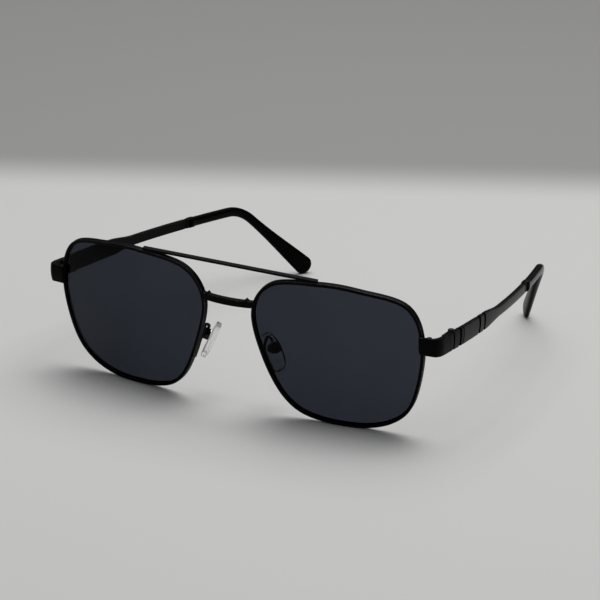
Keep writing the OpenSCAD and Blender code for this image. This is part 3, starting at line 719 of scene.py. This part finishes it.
def end_piece_rings():
    """Four stretches in plan: straight along the rim, a quarter ellipse, straight back and
    the lip. Each station has its outer point, outward direction, thickness, height and
    lean; the first and last two are filed a little lower."""
    f, k = np.linspace(0, 1, 8), np.linspace(0, 1, 28)
    a = np.linspace(turn_from, np.pi / 2, len(k))
    start = np.array([lap[0], lap_y])
    stop = np.array([side_x, split_y - SPLIT_GAP / 2 - GROOVE_W / 2 - GROOVE_WALL])
    bend = corner + np.stack([CORNER_W * np.sin(a), -CORNER_LEN * np.cos(a)], -1)
    bend_out = unit(np.stack([CORNER_LEN * np.sin(a), -CORNER_W * np.cos(a)], -1))
    lead = start + f[:, None] ** LEAD_POWER * (bend[0] - start) * LEAD_REACH
    trail = bend[-1] + f[1:, None] * (stop - bend[-1])
    lip_y = [GROOVE_WALL, GROOVE_W / 2, GROOVE_W / 2 + GROOVE_WALL]
    lip = stop + np.stack([np.full(3, -GROOVE_DEPTH), lip_y], -1)
    plan = np.concatenate([lead, bend, trail, lip])
    first_out = np.array([np.sin(WRAP), -np.cos(WRAP)])
    lead_out = first_out + f[:, None] * (bend_out[0] - first_out)
    back_out = np.tile([1.0, 0.0], (len(trail) + len(lip), 1))
    out = unit(np.concatenate([lead_out, bend_out, back_out]))
    cut = np.r_[np.zeros(len(plan) - len(lip)), np.full(len(lip), GROOVE_DEPTH)]
    thick = np.r_[np.full(len(lead), END_LAP_T),
                  END_LAP_T + (END_T - END_LAP_T) * smooth(k / THICKEN_BY),
                  np.full(len(back_out), END_T)] - cut
    height = np.r_[np.full(len(lead) + len(bend), END_H), END_H - SPLIT_STEP * f[1:],
                   np.full(len(lip), END_H - SPLIT_STEP)] - cut
    lean = np.r_[np.ones(len(lead)), 1 - (1 - BEND_LEAN) * k, BEND_LEAN * (1 - f[1:]),
                 np.zeros(len(lip))][:, None]
    filed = np.r_[FILED[:2], np.zeros(len(plan) - 4), FILED[2:]][:, None]
    bar, weight = rounded_bar(thick, height, END_CORNER, CROWN * height)
    c, z = bar[..., 0] - thick[:, None] / 2, bar[..., 1] * (1 - filed)
    x = plan[:, :1] + out[:, :1] * c
    y = plan[:, 1:] + out[:, 1:] * c - z * np.tan(TILT) * lean
    return np.stack([x, y, end_z - END_SINK * (1 - lean) + z], -1), weight, np.sign(cut)[:, None]


rings, worn, grooved = end_piece_rings()
make_pair("end_strip", "end_piece", "front", "black_metal", rings, edge=worn, groove=grooved)

# %% [markdown]
# ## Rim locks and slotted screws
# The rim is cut at the temple so that the lens can go in. A small block sits on each cut
# end and a screw pulls the two together; another screw is the pin of the hinge. Only the
# tops show above the end piece. A block is a rounded square carried upward, with its top
# edge rolled over. A slotted head is a row of bars: each is as long as the circle is wide
# there, the tops fall away like a dome, and the bars in the slot are lower. A boolean
# could cut the slot too, but leaves ragged edges.

# %% Lock blocks
LOCK_W, LOCK_BACK, LOCK_H, LOCK_ROLL, LOCK_CORNER, LOCK_FOOT = 2.0, 0.9, 1.4, 0.2, 0.25, 0.05
lock_corner = rim_local(np.array(0.0), RIM_W, rim_front + LOCK_BACK)
lock_mid = lock_corner + [2 * SEAT + LOCK_W / 2, LOCK_W / 2, 0]
lock_top = RIM_CUT / 2 + LOCK_H


def along(start, way, steps):
    """Points from a start, each a number of steps along one direction."""
    return start + np.asarray(steps, float)[:, None] * way


def block_rings():
    """Rounded square carried up, with an eased foot; near the top it shrinks by a quarter
    circle's inset."""
    a = np.linspace(0, np.pi / 2, 6)
    z = np.r_[RIM_CUT / 2, RIM_CUT / 2 + LOCK_FOOT, lock_top - LOCK_ROLL + LOCK_ROLL * np.sin(a)]
    wide = LOCK_W - 2 * np.r_[LOCK_FOOT, 0, LOCK_ROLL * (1 - np.cos(a))]
    bar, weight = rounded_bar(wide, wide, LOCK_CORNER)
    return lens_to_table(carry(along(lock_mid, UP, z), ACROSS[None], BACK[None], bar)), weight


rings, worn = block_rings()
make_pair("lock_block", "rim_lock_upper", "front", "black_metal", rings, edge=worn)

# %% Slotted screws
LOWER_LOCK_H, HINGE_H, HINGE_UP = 2.3, 5.2, 0.2
SCREW_R, LOCK_HEAD_R, HINGE_HEAD_R, PIN_POINT, PIN_SHRINK = 0.55, 0.95, 1.0, 0.15, 0.8
HEAD_H, HEAD_DOME, HEAD_ROUND, HEAD_SWEEP = 0.38, 0.12, 0.08, np.radians(81)
SLOT_W, SLOT_WALL = 0.3, 0.02


def head_rings(radius, base):
    """Bars across a round head: half length is the root of radius squared minus y squared,
    the dome lowers a bar by y squared, and the slot takes half of the height."""
    walls = [s * (SLOT_W / 2 + w) for s in (-1, 1) for w in (-SLOT_WALL, 0)]
    y = np.sort(np.r_[radius * np.sin(np.linspace(-HEAD_SWEEP, HEAD_SWEEP, 31)), walls])
    half = np.sqrt(radius**2 - y**2)
    slot = HEAD_H / 2 * (np.abs(y) < SLOT_W / 2 - SLOT_WALL / 2)
    tall = HEAD_H - HEAD_DOME * (y / radius) ** 2 - slot
    crown = HEAD_DOME * (half / radius) ** 2 * (slot == 0)
    bar = rounded_bar(tall, 2 * half, HEAD_ROUND, crown)[0]
    centre = along(base, BACK, y) + UP * (SEAT + tall / 2)[:, None]
    return carry(centre, UP[None], ACROSS[None], bar)


def pin_rings(base, length):
    """Circles of the shank's radius from just under the head down, smaller at the end."""
    z = np.r_[0, -length + PIN_POINT, -length]
    shank = np.array([1, 1, PIN_SHRINK])[:, None, None] * SCREW_R * circle(24)
    return carry(along(base + UP * 2 * SEAT, UP, z), ACROSS[None], BACK[None], shank)


lock_base = lock_mid + UP * lock_top
hinge_base = np.array([*pin, temple_z + HINGE_UP + HINGE_H / 2])
lock_len = lock_top + RIM_CUT / 2 + LOWER_LOCK_H
SCREWS = [
    ("lock_screw_head", "rim_lock_screw", lens_to_table(head_rings(LOCK_HEAD_R, lock_base))),
    ("lock_screw_pin", "rim_lock_screw", lens_to_table(pin_rings(lock_base, lock_len))),
    ("hinge_bolt_head", "hinge_screw", head_rings(HINGE_HEAD_R, hinge_base)),
    ("hinge_bolt_pin", "hinge_screw", pin_rings(hinge_base, HINGE_H)),
]
for name, node, rings in SCREWS:
    make_pair(name, node, "front", "dark_screw", rings)

# %% [markdown]
# ## The path of a temple
# From above a temple bows gently inward, from the side it slopes down a little, then it
# bends behind the ear and drops. One function gives the point and one the directions
# across it at a distance past the start of the bend, so that the metal and the plastic
# tip share it.

# %% The path of a temple
TEMPLE_LEN, BOW_R, ARM_DROP = 90.0, 385.0, np.tan(np.radians(2.6))
BEND_R, TIP_DROP, TIP_TURN = 16.0, np.radians(42.5), np.radians(32.5)
PADDLE_H, CAP_LEN = 6.6, 3.0
arm_x = side_x - END_T / 2
arm_dir = unit(np.array([-TEMPLE_LEN / BOW_R, 1, -ARM_DROP]))
level_run = np.cos(TIP_DROP)
drop_dir = np.array([-np.sin(TIP_TURN) * level_run, np.cos(TIP_TURN) * level_run, -np.sin(TIP_DROP)])
bend_angle = np.arccos(arm_dir @ drop_dir)
bend_side = unit(drop_dir - (arm_dir @ drop_dir) * arm_dir)
bend_len = BEND_R * bend_angle


def arm_at(y):
    """Parabola before the bend: inward by the square of the way back, down in proportion."""
    d = y - split_y
    return np.stack([arm_x - d * d / (2 * BOW_R), y, temple_z - d * ARM_DROP], -1)


def bend_at(a):
    """Circle of the bend: its radius times sine along the arm and 1 minus cosine aside."""
    a = a[..., None]
    return bend_from + BEND_R * (np.sin(a) * arm_dir + (1 - np.cos(a)) * bend_side)


bend_from = arm_at(np.array(split_y + TEMPLE_LEN))
bend_to = bend_at(np.array(bend_angle))
cap_z = np.hypot(CAP_LEN * np.sin(TIP_DROP), PADDLE_H / 2 * np.cos(TIP_DROP))
drop_len = (bend_to[2] - cap_z) / np.sin(TIP_DROP)


def path_at(l):
    """Parabola before the bend, circle round it, straight line after it."""
    bent = bend_at(np.clip(l, 0, bend_len) / BEND_R)
    straight = bend_to + (l - bend_len)[..., None] * drop_dir
    return np.where(l[..., None] <= 0, arm_at(split_y + TEMPLE_LEN + l),
                    np.where(l[..., None] < bend_len, bent, straight))


def path_frame(l):
    """Outward and upward directions across the path: outward is level, at a right angle to
    the path's direction, and upward is at a right angle to both."""
    a = np.clip(l, 0, bend_len)[..., None] / BEND_R
    slope = np.full(l.shape, -ARM_DROP)
    early = np.stack([-(TEMPLE_LEN + l) / BOW_R, np.ones(l.shape), slope], -1)
    d = np.where(l[..., None] <= 0, unit(early), np.cos(a) * arm_dir + np.sin(a) * bend_side)
    out = unit(np.cross(d, UP))
    return out, np.cross(out, d)


print("bend", round(np.degrees(bend_angle), 1), "degrees, drop", round(drop_len, 2), "mm")

# %% [markdown]
# ## Temples
# The metal arm starts as a broad panel with turned grooves, tapers, and runs slim into
# the tip. The grooves are steps in the section, so they catch real light and shadow, and
# a mark makes them a deeper, dull black. Only the outer half of the section is
# polished, more towards the slim arm than at the hinge. On the inner side the strip is
# thinner near the pin, by what the circle of the hinge knuckle takes.

# %% Temples
TEMPLE_H, PANEL_DROP, PANEL_LEN, TAPER_LEN, ARM_H = 5.9, 0.4, 25.0, 14.0, 3.2
TEMPLE_T, TEMPLE_CORNER, SLEEVE_LEN, KNUCKLE_ROOM = 1.7, 0.16, 20.5, 1.25
arm_end = TEMPLE_LEN - SLEEVE_LEN - SEAT
GROOVE_AT = np.array([4.6, 7.0, 19.9, 24.2, arm_end - 2.1])
GROOVE_SHARE = np.array([1, 0.4, 1, 1, 0.55])
GROOVE_LIP, START, EASE, EASE_LEN, LAST_STEP = 0.05, 0.1, 0.14, 0.2, 0.35
POLISH_AT, POLISH = [6.4, 7.4, 25.0, 40.0], [0.25, 0.75, 0.75, 1.15]


def temple_stations():
    """Distances behind the hinge split in order, each with its cut depth and groove mark:
    hinge end, panel, taper and arm, and six for each groove, from lip to lip."""
    plain = np.r_[np.linspace(START, 3.8, 36), np.linspace(7.5, 19.1, 12), np.linspace(25, 65, 60),
                  arm_end - LAST_STEP, arm_end]
    w = GROOVE_W * GROOVE_SHARE / 2
    half = np.stack([w + GROOVE_LIP, w, w - GROOVE_WALL], -1)
    cuts = GROOVE_AT[:, None] + np.concatenate([-half, half[:, ::-1]], -1)
    d, even = np.r_[plain, cuts.ravel()], np.zeros(len(plain))
    cut = np.r_[even, np.tile([0, 0, GROOVE_DEPTH, GROOVE_DEPTH, 0, 0], len(cuts))]
    groove = np.r_[even, np.tile([0, 1, 1, 1, 1, 0], len(cuts))]
    order = np.argsort(d)
    return d[order], cut[order], groove[order]


def temple_rings():
    """Height falls a little along the panel and eases to the arm; thickness loses the cut,
    the knuckle's circle near the pin and the ease of the first end."""
    d, cut, groove = temple_stations()
    panel_end = TEMPLE_H - PANEL_DROP
    taper = panel_end + (ARM_H - panel_end) * smooth((d - PANEL_LEN) / TAPER_LEN)
    height = np.where(d < PANEL_LEN, TEMPLE_H - PANEL_DROP * d / PANEL_LEN, taper)
    room = np.sqrt(np.clip(KNUCKLE_ROOM**2 - (d - PIN_BEHIND) ** 2, 0, None))
    lost = np.clip(room - PIN_INSET, 0, None)
    ease = EASE * np.clip(1 - (d - START) / EASE_LEN, 0, 1)
    bar, weight = rounded_bar(TEMPLE_T - cut - lost - ease, height - cut - ease, TEMPLE_CORNER,
                              CROWN * height)
    out, up = path_frame(d - TEMPLE_LEN)
    up[d < 1] = unit(up[d < 1] * [1, 0, 1])
    centre = path_at(d - TEMPLE_LEN) + out * ((lost - cut) / 2)[:, None]
    polish = np.interp(d, POLISH_AT, POLISH)[:, None] * (bar[..., 0] > 0)
    return carry(centre, out, up, bar), weight, groove[:, None], polish


rings, worn, grooved, polished = temple_rings()
make_pair("temple_arm", "temple", "temple", "black_metal", rings, edge=worn, groove=grooved,
          polish=polished)

# %% [markdown]
# ## Temple tips
# A moulded sleeve is pushed over the end of the arm: a raised collar, a slim body round
# the bend and a flat paddle with a round end. It is one skin on the same path, with a
# superellipse section that grows and thins on the way. The polish mark eases from the
# dull inner side to the glossy outer side.

# %% Temple tips
TIP_H, TIP_T, TIP_POWER, PADDLE_THIN, CAP_THIN = 3.2, 2.7, 2.8, 0.8, 0.62
COLLAR_LEN, COLLAR_LIP, COLLAR_EASE, CAP_TURN = 2.2, 0.4, 0.1, np.radians(88)


def tip_rings():
    """Height and thickness along the sleeve: collar, body, a paddle that grows by
    f squared times (2 - f), and an elliptic cap that thins by a cube."""
    collar = np.array([0, 0.02, COLLAR_EASE, COLLAR_LEN - COLLAR_EASE, COLLAR_LEN, COLLAR_LEN + 0.06])
    lip = np.array([0.1, 0.3, COLLAR_LIP, COLLAR_LIP, 0.28, 0.0])
    body = np.r_[np.linspace(COLLAR_LEN + 0.3 - SLEEVE_LEN, 0, 16)[:-1],
                 np.linspace(0, bend_len, 18)[:-1]]
    f, g = np.linspace(0, 1, 26), np.linspace(0, 1, 14)[1:]
    a = CAP_TURN * g
    l = np.r_[collar - SLEEVE_LEN, body, bend_len + drop_len * f,
              bend_len + drop_len + CAP_LEN * np.sin(a)]
    h = np.r_[TIP_H + lip, np.full(len(body), TIP_H), TIP_H + (PADDLE_H - TIP_H) * f * f * (2 - f),
              PADDLE_H * np.cos(a)]
    t = np.r_[TIP_T + lip, np.full(len(body), TIP_T), TIP_T * (1 - (1 - PADDLE_THIN) * f),
              TIP_T * (PADDLE_THIN - CAP_THIN * g**3)]
    out, up = path_frame(l)
    section = superellipse(t, h, TIP_POWER, 40)
    return carry(path_at(l), out, up, section), smooth(2 * section[..., 0] / t[:, None] + 0.5)


rings, polished = tip_rings()
make_pair("ear_tip", "temple_tip", "temple", "gloss_tip", rings, polish=polished)

# %% [markdown]
# ## Nose pads and their wires
# The pad is a drop-shaped cushion of clear plastic that leans and opens towards the
# nose. Its wire is soldered along the back of the rim, loops up and comes down on the
# round box that holds the pad.

# %% The place of a pad
PAD_S, PAD_IN, PAD_UP, PAD_BACK = 6.2, 1.6, 0.6, 6.2
PAD_LEAN, PAD_SPLAY = np.radians(25.5), np.radians(27.0)
pad_centre = rim_at(PAD_S, RIM_W / 2, rim_back) + [-PAD_IN, PAD_BACK, PAD_UP]


def pad_at(q):
    """From the pad's own axes to the table: open by the splay, lean, then move."""
    return turn(turn(np.asarray(q, float), 2, -PAD_SPLAY), 1, -PAD_LEAN) + pad_centre


print("pad centre:", pad_centre.round(2))

# %% Nose pads
PAD_LEN, PAD_W, PAD_T, PAD_POWER, PAD_DROP, PAD_END = 13.2, 7.4, 1.9, 3.6, 0.14, 0.7
# Where the pad's painted shade lines start, and how strong that painted shade is on the ends.
LINE_FROM, LINE_EASE, ENDS_FROM, ENDS_EASE, ENDS_PAINTED_SHADE = 0.64, 0.08, 0.87, 0.06, 0.85


def pad_rings():
    """Rings up the pad at angle a: width by the cosine to the 0.8, wider below; thickness
    falls to a share at the blunt ends, and the face towards the box stays flat. The rim
    mark, which places the painted shade lines, is 1 along the rear border of that face and
    a little less on the ends."""
    a = np.radians(np.linspace(-89, 89, 45))
    c, s = np.cos(a), np.sin(a)
    w = PAD_W * c**0.8 * (1 - PAD_DROP * s)
    t = PAD_T * (PAD_END + (1 - PAD_END) * c**0.4)
    section = superellipse(t, w, PAD_POWER, 44)
    x = section[..., 0] + (PAD_T - t)[:, None] / 2
    z = np.broadcast_to((PAD_LEN / 2 * s)[:, None], x.shape)
    reach = 2 * section[..., 1] / w[:, None]
    rear = smooth((reach - LINE_FROM) / LINE_EASE) * (section[..., 0] > 0)
    ends = ENDS_PAINTED_SHADE * smooth((np.abs(s) - ENDS_FROM) / ENDS_EASE)[:, None]
    return pad_at(np.stack([x, section[..., 1], z], -1)), np.maximum(rear, ends)


# The rim mark tells the pad's finish where to paint shade along its outline.
rings, outer = pad_rings()
make_pair("pad_cushion", "nose_pad", "pad", "clear_pad", rings, rim=outer)

# %% Pad wires
WIRE_R, WIRE_END, BOX_X, BOX_LEN, BOX_R, BOX_UP = 0.5, 0.75, 1.4, 2.0, 1.85, 1.3
FOOT_FROM, FOOT_TO, CREST_AT, CREST_UP, OVER_UP, TOP_GAP = 6.5, 6.08, 0.45, 1.9, 1.6, 0.15
TOP_IN, OBLIQUE = 1.6, np.array([0.6, -0.8, 0.0])


def wire_rings():
    """Circle of the wire's radius carried along a curve through seven points: three on
    the rim, the lift, the crest, and two down to the box."""
    lie, box_end, box_top = rim_back + WIRE_R + SEAT, BOX_X + BOX_LEN, BOX_UP + BOX_R
    foot = [rim_at(s, RIM_W / 2, lie) for s in np.linspace(FOOT_FROM, FOOT_TO, 3)]
    lift = rim_at(FOOT_TO - (FOOT_FROM - FOOT_TO) / 3, RIM_W / 2, lie + WIRE_R)
    over = pad_at([box_end - WIRE_R, -WIRE_R, box_top + OVER_UP])
    top = pad_at([box_end - TOP_IN * WIRE_R, 0, box_top + TOP_GAP])
    crest = lift + (over - lift) * CREST_AT + UP * CREST_UP
    route = np.array([*foot, lift, crest, over, top])
    p = through(route, np.linspace(0, len(route) - 1, 97), False)
    d = unit(np.gradient(p, axis=0))
    u = unit(np.cross(d, OBLIQUE))
    size = WIRE_R * np.r_[WIRE_END, np.ones(len(p) - 2), WIRE_END]
    return carry(p, u, np.cross(u, d), size[:, None, None] * circle(20))


rings = wire_rings()
make_pair("pad_wire", "pad_arm", "front", "black_metal", rings)

# %% [markdown]
# ## Camera
# A long lens from a little above keeps the near and the far temple in proportion. The
# camera is placed by two angles round a target between the lenses, and rolled by a
# small one.

# %% Camera
AZIMUTH, ELEVATION, ROLL = np.radians(27.207), np.radians(18.866), np.radians(1.709)
DISTANCE, FOCAL, SENSOR, NEAR_CLIP = 1.1144, 200.8, 36.0, 0.01
TARGET = np.array([-0.0064, -0.0066, 0.0183])
away = np.array([-np.sin(AZIMUTH), np.cos(AZIMUTH), 0.0])
toward = np.sin(ELEVATION) * UP - np.cos(ELEVATION) * away
level = unit(np.cross(-toward, UP))
upright = np.cross(level, -toward)
cam_x = level * np.cos(ROLL) + upright * np.sin(ROLL)
cam_y = upright * np.cos(ROLL) - level * np.sin(ROLL)


def set_pose(thing, x, y, z, place):
    """Put an object into the scene with its three axes and its place, in metres."""
    pose = np.eye(4)
    pose[:3] = np.stack([x, y, z, place], -1)
    thing.matrix_world = Matrix(pose.tolist())
    bpy.context.scene.collection.objects.link(thing)


camera = bpy.data.objects.new("camera", bpy.data.cameras.new("camera"))
camera.data.lens, camera.data.sensor_width, camera.data.clip_start = FOCAL, SENSOR, NEAR_CLIP
set_pose(camera, cam_x, cam_y, toward, TARGET + DISTANCE * toward)
bpy.context.scene.camera = camera
print("camera at", (TARGET + DISTANCE * toward).round(4))

# %% [markdown]
# ## Floor and light
# The glasses stand on a pale sheet that darkens to a grey wall tone some way behind
# them. One flat sheet with that tone in its colour gives the same picture and stays out
# of the way when the camera walks round. Light comes from two soft boxes overhead and
# from a dome that is bright above and dark near the horizon. Faces that look up at a
# slant mirror the horizon, so they stay black as on the real metal, while corners that
# mirror the boxes get a soft line of light.

# %% Floor
FLOOR_HALF, PAPER_GRAIN, WALL_FROM, WALL_TO, WALL_TURN = 4.0, 1400, 0.175, 0.226, 0.02
PAPER_DIM, PAPER_PALE, WALL_GREY = grey(0.575, 0.99), grey(0.6, 0.99), grey(0.295, 0.97)


def floor_sheet():
    """A square in the table's plane; its colour goes from paper to wall with the distance
    along a direction that leads away from the camera."""
    f = Finish("pale_sheet", Roughness=0.55, IOR=1.35)
    far = turn(away, 2, WALL_TURN)
    depth = f.node("ShaderNodeVectorMath", {"operation": "DOT_PRODUCT"}, {0: f.place(), 1: tuple(far)},
                   out=1)
    pale = f.mix(f.noise(PAPER_GRAIN), PAPER_DIM, PAPER_PALE)
    f.feed(Base_Color=f.mix(f.band(depth, WALL_FROM, WALL_TO), pale, WALL_GREY))
    square = FLOOR_HALF * np.array([[-1, -1, 0], [1, -1, 0], [1, 1, 0], [-1, 1, 0]])
    mesh = bpy.data.meshes.new("floor_sheet")
    mesh.from_pydata(square.tolist(), [], [(0, 1, 2, 3)])
    sheet = bpy.data.objects.new("floor_sheet", mesh)
    bpy.context.scene.collection.objects.link(sheet)
    sheet.data.materials.append(f.material)
    return sheet


print("stage:", floor_sheet().name)


# %% Lights
def soft_box(name, place, size, watts):
    """A square lamp of that size in metres, turned to look at the middle of the table."""
    lamp = bpy.data.lights.new(name, "AREA")
    lamp.shape, lamp.size, lamp.energy = "SQUARE", size, watts
    z = unit(np.array(place))
    x = unit(np.cross(BACK, z))
    set_pose(bpy.data.objects.new(name, lamp), x, np.cross(z, x), z, place)


soft_box("box_wide", place=(0.0, 0.25, 1.0), size=1.2, watts=7.8)
soft_box("box_small", place=(0.03, 0.12, 0.98), size=0.5, watts=2.4)

# %% Dome
HORIZON, ZENITH = grey(0.05), grey(0.478)
world = bpy.data.worlds.new("studio")
world.use_nodes = True
dome = Wiring(world.node_tree)
height = dome.node("ShaderNodeSeparateXYZ", None, {0: dome.node("ShaderNodeTexCoord")}, out=2)
sky = world.node_tree.nodes["Background"]
dome.put(sky.inputs[0], dome.mix(height * height, HORIZON, ZENITH))
bpy.context.scene.world = world
bpy.context.scene.view_settings.view_transform = "Standard"
print("dome from", HORIZON[0], "at the horizon to", ZENITH[0], "overhead")

# %% [markdown]
# ## The end
